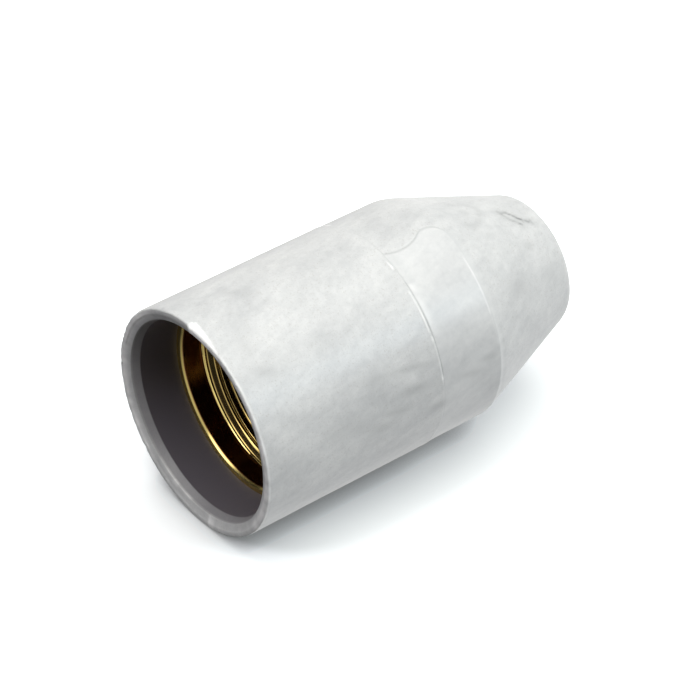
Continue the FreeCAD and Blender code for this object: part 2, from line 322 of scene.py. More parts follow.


# How pale the rim's outer edge and land are painted, for its pale flash and as painted highlight on
# the edge: (from angle, to angle, strength), and elsewhere
PALE_RIM = ((18, 128, 1.1), (222, 322, 1.2))
PALE_RIM_ELSEWHERE = 0.15


def rim_flash_and_sheen(angle):
    """Strength of the rim's paleness at an angle."""
    wear = PALE_RIM_ELSEWHERE
    for start, end, strength in PALE_RIM:
        wear = max(wear, strength * within(angle, start, end, 12, 12))
    return wear


def paleness(angle, radius, height):
    """How pale a place is painted, 0 to 1: 1 on the nick's cut face, less on flash and on the rim's
    edges. The pale lines and the rim's paleness are partly painted highlights and glints.
    """
    pale = pale_line_at(angle, height)
    if radius > RIM_RADIUS - RIM_LAND:
        pale = max(pale, smooth(0.0, 0.05, nick_depth(angle, height)))
    patches = 0.65 + 0.35 * ripple(angle, 0, 1.1, 40)
    over_rim_land = smooth(SKIRT_RADIUS + MOUTH_FLARE - 0.3, RIM_RADIUS - RIM_LAND, radius)
    pale = max(pale, rim_flash_and_sheen(angle) * patches * over_rim_land * (1 - smooth(0.1, 0.5, height)))
    return min(1.0, pale)


# Stretches where the parting line is worn or well closed: (from angle, to angle, share left)
FAINT_SEAM = ((-60, 14, 0.25), (81, 116, 0.30))


def seam_sharpness(angle):
    """How much of its full form the parting line has at an angle."""
    sharp = 1.0
    for start, end, left in FAINT_SEAM:
        sharp = min(sharp, 1 - (1 - left) * within(angle, start, end, 2, 4))
    return sharp


BEAD_RISE = 0.030
BEAD_BELOW = 0.28
BEAD_WIDTH = 0.16
SEAM_GROOVE_DEPTH = 0.045
SEAM_GROOVE_WIDTH = 0.07
LIP_RISE = 0.060
LIP_FACE = 0.12
LIP_BACK = (0.15, 1.4)


def parting_offset(angle, height):
    """Bead, thin groove and rolled lip where the two halves of the mould met."""
    up = height - PARTING_HEIGHT
    lively = 0.5 + 0.5 * ripple(angle, 0, 2.6, 21)
    bead = BEAD_RISE * lively * math.exp(-((up + BEAD_BELOW) / BEAD_WIDTH) ** 2)
    groove = -SEAM_GROOVE_DEPTH * math.exp(-(up / SEAM_GROOVE_WIDTH) ** 2)
    lip = LIP_RISE * (0.4 + 0.6 * lively)
    lip *= smooth(0.0, LIP_FACE, up) * (1 - smooth(*LIP_BACK, up))
    return seam_sharpness(angle) * (bead + groove + lip)


def shoulder_offset(height, share):
    """Outside the window the shoulder is rounded off, and inside it stays crisp."""
    near = 1 - min(1.0, abs(height - SHOULDER_HEIGHT) / SHOULDER_BLEND)
    return -SHOULDER_LOSS * (1 - share) * near ** 2


# Unevenness of the skin: (depth, size, seed)
SKIN_WAVES = ((0.016, 6, 3), (0.005, 1.6, 9))
RIM_ZONE = 2.0


def skin_offset(angle, height, share):
    """Radial distance of the skin from its nominal place. It never grows past the rim's radius.
    share is 1 inside the window and 0 outside."""
    offset = 0.0
    for depth, size, seed in SKIN_WAVES:
        offset += depth * (ripple(angle, height, size, seed) - 1)
    offset *= smooth(0, 3, height)
    offset += parting_offset(angle, height)
    offset += shoulder_offset(height, share)
    if height > RIM_ZONE:
        offset += LINE_RISE * pale_line_at(angle, height)
    on_edge = 1 - abs(2 * share - 1)
    if PARTING_HEIGHT < height < SHOULDER_HEIGHT:
        offset -= EDGE_GROOVE * on_edge
    offset -= WINDOW_STEP * share
    return offset - nick_depth(angle, height)


def rim_flash(angle):
    """Radial loss at the rim's outer edge, where trimmed flash left small scallops."""
    ragged = 0.35 + 0.65 * (1 - smooth(50, 90, abs(turn_between(angle, 265))))
    return ragged * (0.17 * abs(ripple(angle, 0, 0.8, 40)) + 0.04 * (1 + ripple(angle, 0, 3.5, 51)))


# Marks in the colour. A smudge is (angle, height, half length along the axis, half width around
# it, lean in degrees, strength).
SMUDGES = (
    (22, 3.9, 1.0, 1.5, 20, 0.20),
    (14, 5.4, 0.7, 1.2, -20, 0.10),
    (37, 4.2, 1.6, 0.7, 35, 0.22),
    (-4, 8.9, 0.35, 0.35, 0, 0.30),
    (-9, 8.2, 1.6, 0.6, 30, 0.16),
    (66, 22.6, 2.4, 0.45, 12, 0.34),
    (77, 22.4, 2.2, 0.6, 8, 0.36),
    (84, 19.6, 2.0, 0.45, 14, 0.26),
    (63, 17.3, 2.4, 0.6, 10, 0.16),
    (88, 17.0, 2.0, 0.8, 16, 0.20),
    (80, 12.0, 3.0, 1.2, 10, 0.12),
    (93, 26.0, 1.8, 0.6, 10, 0.22),
    (80, 34.0, 1.2, 0.5, 10, 0.26),
    (84, 31.0, 1.8, 0.5, 14, 0.20),
    (5, 43.1, 0.28, 0.40, 0, 0.55),
    (13, 40.1, 1.2, 0.6, 20, 0.16),
    (36, 46.6, 0.9, 0.7, 0, 0.20),
    (56, 41.8, 2.2, 1.3, 20, 0.18),
    (59, 47.8, 1.2, 0.9, 0, 0.12),
    (-8, 40.7, 0.8, 0.5, 30, 0.16),
    (1, 41.0, 1.0, 0.35, 40, 0.20),
    (11, 41.6, 1.4, 0.4, -30, 0.15),
    (22, 41.8, 1.0, 0.5, 10, 0.14),
    (150, 14.0, 3.0, 0.8, 12, 0.24),
    (205, 21.0, 2.4, 0.7, 10, 0.28),
    (250, 9.0, 2.8, 0.9, 16, 0.22),
    (290, 30.5, 1.6, 0.6, 12, 0.24),
    (170, 41.0, 1.4, 0.8, 18, 0.20),
    (320, 18.0, 2.6, 0.6, 14, 0.18),
)
SMUDGE_REACH = 8

# Dark flow marks near the nose, as strands: (strength, points (angle, height) along the strand).
# The two limits leave out the places that are too far from all of them.
FLOW_MARK_ANGLES = (-19, 31)
FLOW_MARK_HEIGHTS = (41, 51)
FLOW_MARKS = (
    (1.0, ((5.2, 45.9), (7.5, 47.1), (12.7, 47.8), (17.5, 48.5), (19.7, 49.5))),
    (0.8, ((8.7, 46.2), (15.2, 46.8), (19.4, 47.8))),
    (0.3, ((-7.0, 42.4), (-3.2, 43.2), (3.0, 43.4), (5.2, 43.2))),
)
FLOW_MARK_WIDTH = 0.26
FLOW_MARK_HALO = 0.9

# Stretches of painted shade in the parting groove: (from angle, to angle, strength)
DARK_SEAM = ((28, 60, 0.50), (84, 100, 0.22), (6, 14, 0.22), (150, 200, 0.30), (240, 300, 0.28))
SEAM_DARK_ELSEWHERE = 0.08
SEAM_DARK_WIDTH = 0.09
# Painted shade beside the window's edge: its strength and reach
EDGE_DARK = 0.26
EDGE_DARK_REACH = 0.9


def smudge_at(angle, radius, height):
    """How dark the smudges make a place, 0 to 1."""
    total = 0.0
    for middle, level, length, width, tilt, strength in SMUDGES:
        along = height - level
        across = math.radians(turn_between(angle, middle)) * radius
        if abs(along) > SMUDGE_REACH or abs(across) > SMUDGE_REACH:
            continue
        t = math.radians(tilt)
        first = along * math.cos(t) + across * math.sin(t)
        second = across * math.cos(t) - along * math.sin(t)
        total += strength * math.exp(-(first / length) ** 2 - (second / width) ** 2)
    return total


def flow_mark_at(angle, radius, height):
    """How much of the flow marks a place holds, 0 to 1."""
    turn = turn_between(angle, 0)
    near_angle = FLOW_MARK_ANGLES[0] <= turn <= FLOW_MARK_ANGLES[1]
    if not near_angle or not FLOW_MARK_HEIGHTS[0] < height < FLOW_MARK_HEIGHTS[1]:
        return 0.0
    here = Vector((math.radians(turn) * radius, height))
    patchy = min(1.0, max(0.0, 0.52 + 0.4 * ripple(angle, height, 0.45, 77)))
    halo = max(0.0, 0.19 + 0.14 * ripple(angle, height, 0.8, 78))
    most = 0.0
    for strength, path in FLOW_MARKS:
        for (angle0, height0), (angle1, height1) in zip(path, path[1:]):
            start = Vector((math.radians(angle0) * radius, height0))
            run = Vector((math.radians(angle1) * radius, height1)) - start
            share = min(1.0, max(0.0, (here - start).dot(run) / run.length_squared))
            near = (here - start - run * share).length
            held = patchy * math.exp(-(near / FLOW_MARK_WIDTH) ** 2)
            held += halo * math.exp(-(near / FLOW_MARK_HALO) ** 2)
            most = max(most, strength * held)
    return most


def seam_shade_at(column, angle, height):
    """The thin darker line along the window's edge and in the parting groove, painted shade in
    their creases, 0 to 1.
    """
    side = min(abs(column - EDGE_COLUMN), abs(180 - EDGE_COLUMN - column))
    beside = EDGE_DARK * max(0.0, 1 - side / EDGE_DARK_REACH)
    if not PARTING_HEIGHT < height < SHOULDER_HEIGHT:
        beside = 0.0
    groove = SEAM_DARK_ELSEWHERE
    for start, end, strength in DARK_SEAM:
        groove = max(groove, strength * within(angle, start, end, 4, 2))
    off = (height - PARTING_HEIGHT) / SEAM_DARK_WIDTH
    return max(beside, groove * math.exp(-off ** 2))


def notch_loss(angle):
    """Radial depth of the insert's vee notches at an angle."""
    pitch = 360 / NOTCH_COUNT
    off = abs((angle + 90 + pitch / 2) % pitch - pitch / 2)
    return max(0.0, NOTCH_DEPTH - math.radians(off) * COLLAR_RADIUS)


def collar_corners():
    """Corners of the insert's three collars and two grooves, from its top down to the foot of the
    lower groove. The cup's cavity has the same."""
    collar = (INSERT_TOP - INSERT_FOOT - 2 * GROOVE_WIDTH) / 3
    floor = COLLAR_RADIUS - GROOVE_DEPTH
    lower = INSERT_FOOT + collar
    upper = lower + GROOVE_WIDTH + collar
    corners = [(COLLAR_RADIUS, INSERT_TOP)]
    for foot in (upper, lower):
        top = foot + GROOVE_WIDTH
        corners += [(COLLAR_RADIUS, top), (floor, top), (floor, foot), (COLLAR_RADIUS, foot)]
    return [(radius, height, 0, HIDDEN_SPACING) for radius, height in corners]


def body_rows():
    """Half section of the moulding: out along the rim, up the outside, back down the inside."""
    parting_radius = drafted(PARTING_HEIGHT)
    band_foot = parting_radius - PARTING_STEP
    shoulder_radius = drafted(SHOULDER_HEIGHT) - PARTING_STEP
    mouth = SKIRT_RADIUS + MOUTH_FLARE
    flare = MOUTH_FLARE / MOUTH_FLARE_LENGTH
    seat = OVERALL_LENGTH - FRONT_WALL
    outside = [
        (mouth - flare * MOUTH_EDGE_DEPTH, MOUTH_EDGE_DEPTH, 0.12, 0.2),
        (RIM_RADIUS - RIM_LAND, 0, 0.6, 0.2),
        (RIM_RADIUS, 0, RIM_EDGE_BREAK, 0.14),
        (drafted(1.9), 1.9, 0, 0.95),
        (drafted(26.2), 26.2, 0, 0.07),
        (parting_radius, PARTING_HEIGHT - 0.02, 0, 0.04),
        (band_foot, PARTING_HEIGHT + 0.02, 0, 0.07),
        (drafted(27.3) - PARTING_STEP, 27.3, 0, 0.33),
        (drafted(34.2) - PARTING_STEP, 34.2, 0, 0.16),
        (drafted(35.1) - PARTING_STEP, 35.1, 0, 0.08),
        (shoulder_radius, SHOULDER_HEIGHT, 0.4, 0.16),
        (cone_radius(SHOULDER_HEIGHT + 1.6), SHOULDER_HEIGHT + 1.6, 0, 0.75),
        (cone_radius(46.2), 46.2, 0, 0.17),
        (cone_radius(49.6), 49.6, 0, 0.3),
        (nose_corner_radius(), OVERALL_LENGTH, NOSE_ROUND, 0.5),
        (ORIFICE_RADIUS + ORIFICE_BREAK, OVERALL_LENGTH, 0.08, 0.3),
    ]
    inside = [
        (ORIFICE_RADIUS, OVERALL_LENGTH - ORIFICE_BREAK, 0.08, 1.6),
        (ORIFICE_RADIUS, seat, 0.1, 0.5),
        (ORIFICE_RADIUS + SEAT_WIDTH, seat, 0.25, 2.5),
        (CHAMBER_RADIUS, SHOULDER_HEIGHT + CHAMBER_PAST_SHOULDER, 1.0, 4.0),
        (CHAMBER_RADIUS, INSERT_TOP, 0, 3.0),
        *collar_corners(),
        (COLLAR_RADIUS, INSERT_FOOT, 0, HIDDEN_SPACING),
        (SKIRT_RADIUS, INSERT_FOOT, 0.07, 0.9),
        (SKIRT_RADIUS, MOUTH_FLARE_LENGTH + 0.3, 0, 0.08),
        (SKIRT_RADIUS, MOUTH_FLARE_LENGTH, 0.12, 0.08),
        (SKIRT_RADIUS + flare * 0.3, MOUTH_FLARE_LENGTH - 0.3, 0, 0.3),
    ]
    return rounded_path(outside + inside, closed=True)


def is_outside(radius, height):
    """True for the skin from the rim's outer edge to the nose."""
    if height < SHOULDER_HEIGHT:
        return radius > COLLAR_RADIUS + 0.6
    if height < OVERALL_LENGTH - NOSE_ROUND:
        return radius > cone_radius(height) - 1.2
    return radius > ORIFICE_RADIUS + ORIFICE_BREAK / 2


def new_mesh_object(name, points, faces, marks=()):
    """A smooth-shaded object from millimetre points. Marks are (name, value per point) pairs for
    the material."""
    mesh = bpy.data.meshes.new(name)
    mesh.from_pydata([tuple(point * MM) for point in points], [], faces)
    for mark, values in marks:
        mesh.attributes.new(mark, "FLOAT", "POINT").data.foreach_set("value", values)
    work = bmesh.new()
    work.from_mesh(mesh)
    bmesh.ops.remove_doubles(work, verts=work.verts, dist=WELD_DISTANCE * MM)
    bmesh.ops.dissolve_degenerate(work, edges=work.edges, dist=WELD_DISTANCE * MM)
    bmesh.ops.recalc_face_normals(work, faces=work.faces)
    work.to_mesh(mesh)
    work.free()
    mesh.shade_smooth()
    made = bpy.data.objects.new(name, mesh)
    bpy.context.scene.collection.objects.link(made)
    return made


def ring_faces(first, second):
    """Quads between two rings of point numbers."""
    count = len(first)
    return [
        (first[i], first[(i + 1) % count], second[(i + 1) % count], second[i])
        for i in range(count)
    ]


def shade_inside(radius, height):
    """How much painted shade a place takes: 1 on the wall inside the skirt and beyond, less on the
    flared mouth, and a little on the rim's land."""
    if height > OVERALL_LENGTH - ORIFICE_BREAK:
        return 0.0
    edge = MOUTH_EDGE_DEPTH - 2 * TOLERANCE
    if height < edge:
        return LAND_SHADE
    flare = smooth(edge, MOUTH_EDGE_DEPTH + 0.12, height)
    wall = smooth(-0.08, 0.08, height - MOUTH_FLARE_LENGTH)
    return LAND_SHADE + (FLARE_SHADE - LAND_SHADE) * flare + (1 - FLARE_SHADE) * wall


def make_body():
    """The moulding, on a lathe grid whose outside carries the marks of moulding and use."""
    rows = body_rows()
    columns = body_columns()
    points = []
    rings = []
    smudge_and_shade = []
    inside = []
    window = []
    pale_and_highlight = []
    for radius, height in rows:
        outside = is_outside(radius, height)
        collar = abs(radius - COLLAR_RADIUS) < TOLERANCE and height > INSERT_FOOT - TOLERANCE
        ring = []
        for column in columns:
            angle = column
            distance = radius
            share = 0.0
            dark = 0.0
            pale_paint = 0.0
            if outside:
                angle = lean(column, height)
                share = window_share(column, height)
                distance += skin_offset(angle, height, share)
                distance -= (1 - smooth(0.05, 0.5, height)) * rim_flash(angle)
                dark = smudge_at(angle, radius, height) + flow_mark_at(angle, radius, height)
                # The seam's darker line is painted shade, carried in one mark with the smudges and
                # flow marks.
                dark += seam_shade_at(column, angle, height)
            elif collar:
                distance -= notch_loss(column)
            # Pale paint: flash, the nick's face, and painted highlights and glints on edges
            if outside or height < MOUTH_EDGE_DEPTH + 0.2:
                pale_paint = paleness(angle, radius, height)
            ring.append(len(points))
            points.append(around(angle, distance, height))
            smudge_and_shade.append(dark)
            inside.append(0.0 if outside else shade_inside(radius, height))
            window.append(share)
            pale_and_highlight.append(pale_paint)
        rings.append(ring)
    faces = []
    for index, ring in enumerate(rings):
        faces += ring_faces(ring, rings[(index + 1) % len(rings)])
    marks = (("smudge_and_shade", smudge_and_shade), ("inside", inside), ("window", window), ("pale_and_highlight", pale_and_highlight))
    return new_mesh_object("moulded_cup", points, faces, marks)


# The insert's bore

THREAD_START = INSERT_FOOT + COUNTERBORE_DEPTH
FLANK_SLOPE = math.tan(math.radians(30))
FLANK = (THREAD_MAJOR_RADIUS - THREAD_MINOR_RADIUS) * FLANK_SLOPE
ROOT_FLAT = THREAD_PITCH / 8
CREST_FLAT = THREAD_PITCH - ROOT_FLAT - 2 * FLANK
THREAD_BREAK = 0.05
THREAD_STEP = 0.12

# Where the metal is bright: over LEAD_IN at the thread's start, by THREAD_BRIGHT beyond it, and on
# the mouth's chamfer. BRIGHT_EDGE is the width of the change.
LEAD_IN = 0.25
THREAD_BRIGHT = 0.5
BRIGHT_EDGE = 0.03


def thread_radius(turn, height):
    """Radius of the bore at a share of a turn and a height: cone, crest, flank or root."""
    bored = max(THREAD_MINOR_RADIUS, COUNTERBORE_RADIUS - (height - THREAD_START))
    along = (height - THREAD_START - THREAD_PITCH * turn) % THREAD_PITCH
    middle = CREST_FLAT + FLANK + ROOT_FLAT / 2
    off = abs(along - middle)
    cut = THREAD_MAJOR_RADIUS - max(0, off - ROOT_FLAT / 2) / FLANK_SLOPE
    return max(bored, cut)


def thread_rings():
    """Rows that run up the bore along the thread's own helix. The rows of one pitch meet those of
    the next where the turn closes."""
    marks = []
    corner = 0.0
    for stretch in (CREST_FLAT, FLANK, ROOT_FLAT, FLANK):
        parts = max(1, round(stretch / THREAD_STEP))
        run = stretch - 2 * THREAD_BREAK
        marks += [corner + THREAD_BREAK + run * part / parts for part in range(parts + 1)]
        corner += stretch
    pitches = math.ceil((INSERT_TOP - THREAD_START) / THREAD_PITCH) + 1
    starts = [THREAD_START + THREAD_PITCH * (turn - 2) for turn in range(pitches + 2)]
    return [start + mark for start in starts for mark in marks], len(marks)


def make_insert():
    """The turned insert with its real helical thread."""
    turns = [index / INSERT_COLUMNS for index in range(INSERT_COLUMNS)]
    turned = rounded_path([
        *collar_corners(),
        (COLLAR_RADIUS, INSERT_FOOT, 0, 0.6),
        (COUNTERBORE_RADIUS + INSERT_CHAMFER, INSERT_FOOT, 0.05, 0.2),
        (COUNTERBORE_RADIUS, INSERT_FOOT + INSERT_CHAMFER, 0.05, 0.6),
        (COUNTERBORE_RADIUS, THREAD_START, 0, 1),
    ], closed=False)

    points = []
    bright = []
    rings = [[]]
    for turn in turns:
        rings[0].append(len(points))
        points.append(around(360 * turn, thread_radius(turn, INSERT_TOP), INSERT_TOP))
        bright.append(0.0)
    for radius, height in turned:
        ring = []
        for turn in turns:
            loss = notch_loss(360 * turn) if abs(radius - COLLAR_RADIUS) < TOLERANCE else 0
            ring.append(len(points))
            points.append(around(360 * turn, radius - loss, height))
            bright.append(1.0 if height < INSERT_FOOT + INSERT_CHAMFER - BRIGHT_EDGE else 0.0)
        rings.append(ring)
    faces = []
    for first, second in zip(rings, rings[1:]):
        faces += ring_faces(first, second)

    heights, per_pitch = thread_rings()
    grid = []
    for height in heights:
        ring = []
        for turn in turns:
            real = min(INSERT_TOP, max(THREAD_START, height + THREAD_PITCH * turn))
            ring.append(len(points))
            points.append(around(360 * turn, thread_radius(turn, real), real))
            step = smooth(THREAD_START, THREAD_START + BRIGHT_EDGE, real)
            bright.append(step if real < THREAD_START + LEAD_IN else THREAD_BRIGHT)
        grid.append(ring)
    for low, high in zip(range(len(grid)), range(1, len(grid))):
        for i in range(INSERT_COLUMNS - 1):
            faces.append((grid[low][i], grid[low][i + 1], grid[high][i + 1], grid[high][i]))
        if high + per_pitch < len(grid):
            faces.append((grid[low][-1], grid[low + per_pitch][0], grid[high + per_pitch][0],
                          grid[high][-1]))
    return new_mesh_object("threaded_insert", points, faces, (("bright", bright),))


# Materials

SKIN_DEEP = (0.470, 0.482, 0.486, 1)
SKIN_PALE = (0.678, 0.685, 0.676, 1)
SKIN_SMEAR = (0.40, 0.41, 0.42, 1)
SKIN_SPECK = (0.38, 0.36, 0.33, 1)
WINDOW_PALE = (0.68, 0.69, 0.69, 1)
SMUDGE_AND_SHADE_GREY = (0.20, 0.21, 0.21, 1)
# The inside grey is painted shade: the cup's inner walls, flared mouth and a little of the rim's
# land are painted darker where shade falls.
INSIDE_SHADE_GREY = (0.112, 0.102, 0.118, 1)
FLASH_AND_HIGHLIGHT_WHITE = (0.90, 0.90, 0.89, 1)
BRASS_BRIGHT = (0.88, 0.70, 0.25, 1)
BRASS_TARNISHED = (0.16, 0.060, 0.026, 1)

# Inside the window: share of the pale colour, loss of roughness, and loss of the skin's grain
WINDOW_PALENESS = 0.18
WINDOW_SMOOTHER = 0.02
WINDOW_CALMER = 0.75


def new_material(name):
    material = bpy.data.materials.new(name)
    material.use_nodes = True
    material.node_tree.nodes.clear()
    return material, material.node_tree


def add(tree, kind, inputs=(), **settings):
    """A node with its settings. Inputs are (socket, value or output socket) pairs."""
    made = tree.nodes.new(kind)
    for key, value in settings.items():
        setattr(made, key, value)
    for socket, value in inputs:
        if isinstance(value, bpy.types.NodeSocket):
            tree.links.new(value, made.inputs[socket])
        else:
            made.inputs[socket].default_value = value
    return made


def mapped(tree, scale, turn=(0, 0, 0)):
    """Coordinates of the row frame, stretched so that a noise of scale 1 suits them."""
    place = add(tree, "ShaderNodeTexCoord")
    made = add(tree, "ShaderNodeMapping", [
        ("Vector", place.outputs["Object"]),
        ("Scale", tuple(value / MM for value in scale)),
        ("Rotation", tuple(math.radians(value) for value in turn)),
    ])
    return made.outputs["Vector"]


def cloud(tree, vector, detail=4.0, rough=0.55, twist=0.0, scale=1.0):
    made = add(tree, "ShaderNodeTexNoise", [
        ("Vector", vector),
        ("Scale", scale),
        ("Detail", detail),
        ("Roughness", rough),
        ("Distortion", twist),
    ])
    return made.outputs["Fac"]


def spread(tree, value, low, high, new_low=0.0, new_high=1.0):
    made = add(tree, "ShaderNodeMapRange", [
        ("Value", value),
        ("From Min", low),
        ("From Max", high),
        ("To Min", new_low),
        ("To Max", new_high),
    ])
    return made.outputs["Result"]


def math_node(tree, operation, first, second):
    made = add(tree, "ShaderNodeMath", [(0, first), (1, second)], operation=operation)
    return made.outputs["Value"]


def blend_colours(tree, factor, first, second):
    """From the first colour at 0 to the second at 1. The node's sockets for colours are its inputs
    6 and 7 and its output 2."""
    made = add(tree, "ShaderNodeMix", [(0, factor), (6, first), (7, second)], data_type="RGBA")
    return made.outputs[2]


def mark(tree, name):
    """A mark that the mesh carries at its points."""
    return add(tree, "ShaderNodeAttribute", attribute_name=name).outputs["Fac"]


def flowing(tree, around_scale, along_scale, twist):
    """Coordinates that follow the axis with a slow twist, for streaks of the melt's flow. The
    scales are lumps per millimetre, and the twist is in degrees per millimetre."""
    place = add(tree, "ShaderNodeTexCoord").outputs["Object"]
    height = add(tree, "ShaderNodeSeparateXYZ", [("Vector", place)]).outputs["Z"]
    turn = math_node(tree, "MULTIPLY", height, math.radians(twist) / MM)
    turned = add(tree, "ShaderNodeVectorRotate", [
        ("Vector", place), ("Axis", (0, 0, 1)), ("Angle", turn)], rotation_type="AXIS_ANGLE")
    scale = (around_scale / MM, around_scale / MM, along_scale / MM)
    return add(tree, "ShaderNodeMapping", [
        ("Vector", turned.outputs["Vector"]), ("Scale", scale)]).outputs["Vector"]


def grey_moulding():
    """Pale grey plastic with cloudy marbling from its flow, faint streaks and a soft gloss."""
    material, tree = new_material("grey_moulding")
    clouds = cloud(tree, mapped(tree, (0.13, 0.13, 0.10), (18, 0, 25)), 4, 0.55, 0.8)
    streaks = cloud(tree, flowing(tree, 0.70, 0.20, 1.1), 2.5, 0.5, 0.3)
    smears = cloud(tree, flowing(tree, 0.55, 0.22, 0.8), 2, 0.5, 0.5)
    mottle = cloud(tree, mapped(tree, (1.1, 1.1, 1.1)), 5, 0.72, 0.3)
    grit = cloud(tree, mapped(tree, (4.6, 4.6, 4.6)), 3, 0.6)

    marbling = math_node(tree, "ADD", spread(tree, clouds, 0.32, 0.68, 0, 0.50),
                         spread(tree, streaks, 0.30, 0.70, 0, 0.28))
    marbling = math_node(tree, "ADD", marbling, spread(tree, mottle, 0.34, 0.66, 0, 0.32))
    base = blend_colours(tree, marbling, SKIN_DEEP, SKIN_PALE)
    window = mark(tree, "window")
    rough_skin = math_node(tree, "SUBTRACT", 1.0, window)
    speckle = math_node(tree, "MULTIPLY", spread(tree, grit, 0.56, 0.76, 0, 0.55), rough_skin)
    smudged_and_shaded = math_node(tree, "MULTIPLY", mark(tree, "smudge_and_shade"),
                        spread(tree, mottle, 0.36, 0.62, 0.45, 1.25))
    for factor, colour in (
        (spread(tree, smears, 0.58, 0.80, 0, 0.22), SKIN_SMEAR),
        (speckle, SKIN_SPECK),
        (math_node(tree, "MULTIPLY", window, WINDOW_PALENESS), WINDOW_PALE),
        # Smudges and flow marks, with the painted shade of the seam
        (smudged_and_shaded, SMUDGE_AND_SHADE_GREY),
        # Painted shade inside the cup
        (mark(tree, "inside"), INSIDE_SHADE_GREY),
        # Pale flash, the nick's white face, and painted highlights and glints on edges
        (mark(tree, "pale_and_highlight"), FLASH_AND_HIGHLIGHT_WHITE),
    ):
        base = blend_colours(tree, factor, base, colour)

    roughness = math_node(tree, "ADD", spread(tree, clouds, 0.3, 0.7, 0.31, 0.38),
                          math_node(tree, "MULTIPLY", window, -WINDOW_SMOOTHER))
    grain = math_node(tree, "ADD", math_node(tree, "MULTIPLY", mottle, 1.6),
                      math_node(tree, "MULTIPLY", grit, 0.6))
    left = math_node(tree, "SUBTRACT", 1.0, math_node(tree, "MULTIPLY", window, WINDOW_CALMER))
    grain = math_node(tree, "MULTIPLY", grain, left)
    gloss = spread(tree, mark(tree, "inside"), FLARE_SHADE, 1.0, 0.58, 0.12)
    bump = add(tree, "ShaderNodeBump", [
        ("Height", grain), ("Strength", 0.4), ("Distance", 0.012 * MM)])
    shader = add(tree, "ShaderNodeBsdfPrincipled", [
        ("Base Color", base), ("Roughness", roughness), ("Normal", bump.outputs["Normal"]),
        ("IOR", 1.5), ("Specular IOR Level", gloss)])
    add(tree, "ShaderNodeOutputMaterial", [("Surface", shader.outputs["BSDF"])])
    return material


def brass():
    """Turned brass with fine tool rings, dark with tarnish where no mark makes it bright."""
    material, tree = new_material("brass")
    tarnish = cloud(tree, mapped(tree, (0.35, 0.35, 0.8)), 4, 0.6, 0.4)
    rings = cloud(tree, mapped(tree, (0.02, 0.02, 9.0)), 2, 0.6)
    wall = math_node(tree, "SUBTRACT", 1.0, mark(tree, "bright"))
    dull = math_node(tree, "MULTIPLY", wall, spread(tree, tarnish, 0.30, 0.55, 0.86, 1.0))
    base = blend_colours(tree, dull, BRASS_BRIGHT, BRASS_TARNISHED)
    bump = add(tree, "ShaderNodeBump", [
        ("Height", rings), ("Strength", 0.4), ("Distance", 0.008 * MM)])
    shader = add(tree, "ShaderNodeBsdfPrincipled", [
        ("Base Color", base), ("Metallic", 1.0),
        ("Roughness", spread(tree, tarnish, 0.3, 0.7, 0.10, 0.20)),
        ("Normal", bump.outputs["Normal"])])
    add(tree, "ShaderNodeOutputMaterial", [("Surface", shader.outputs["BSDF"])])
    return material


# Stage: the photo's table lies beside the cap, and a floor under its rim serves the other views.

STAGE_SIZE = 4000
TABLE_LIFT = 0.40
FLOOR_LIFT = 0.45
TABLE_WHITE = (0.93, 0.955, 0.965, 1)
CONTACT_SHADOW_GREY = (0.13, 0.125, 0.125, 1)
CONTACT_REACH = 2.9
SHADOW_REACH = 30


def stage_plane(name, lift, facing_table):
    """A square that only the camera sees, across Y as the table or across Z as the floor."""
    half = STAGE_SIZE / 2 * MM
    mesh = bpy.data.meshes.new(name)
    if facing_table:
        corners = [(-half, 0, -half), (half, 0, -half), (half, 0, half), (-half, 0, half)]
    else:
        corners = [(-half, -half, 0), (half, -half, 0), (half, half, 0), (-half, half, 0)]
    mesh.from_pydata(corners, [], [(0, 1, 2, 3)])
    plane = bpy.data.objects.new(name, mesh)
    bpy.context.scene.collection.objects.link(plane)
    plane.visible_diffuse = False
    plane.visible_glossy = False
    plane.visible_transmission = False
    plane.visible_shadow = False
    mesh.materials.append(table_white(name, lift))
    return plane


def table_white(name, lift):
    """White paper that takes a soft shadow in front and is clear from behind. Where something
    touches it, a contact shadow is painted into its colour, and its glow, which is painted light,
    is less where the space above it is closed."""
    material, tree = new_material(name)
    side = add(tree, "ShaderNodeNewGeometry")
    near = add(tree, "ShaderNodeAmbientOcclusion", [("Distance", CONTACT_REACH * MM)], samples=8)
    wide = add(tree, "ShaderNodeAmbientOcclusion", [("Distance", SHADOW_REACH * MM)], samples=8)
    colour = blend_colours(tree, near.outputs["AO"], CONTACT_SHADOW_GREY, TABLE_WHITE)
    strength = spread(tree, wide.outputs["AO"], 0.14, 1.0, 0, lift)
    paper = add(tree, "ShaderNodeBsdfDiffuse", [("Color", colour)])
    glow = add(tree, "ShaderNodeEmission", [("Color", TABLE_WHITE), ("Strength", strength)])
    both = add(tree, "ShaderNodeAddShader", [(0, paper.outputs[0]), (1, glow.outputs[0])])
    clear = add(tree, "ShaderNodeBsdfTransparent")
    mix = add(tree, "ShaderNodeMixShader", [
        (0, side.outputs["Backfacing"]), (1, both.outputs[0]), (2, clear.outputs[0])])
    add(tree, "ShaderNodeOutputMaterial", [("Surface", mix.outputs[0])])
    return material


def make_stage():
    """The table, tilted to lie along the drafted skirt, and the floor."""
    table = stage_plane("table", TABLE_LIFT, facing_table=True)
    table.location = (0, RIM_RADIUS * MM, 0)
    table.rotation_euler = (math.radians(-DRAFT_ANGLE), 0, 0)
    stage_plane("floor", FLOOR_LIFT, facing_table=False)


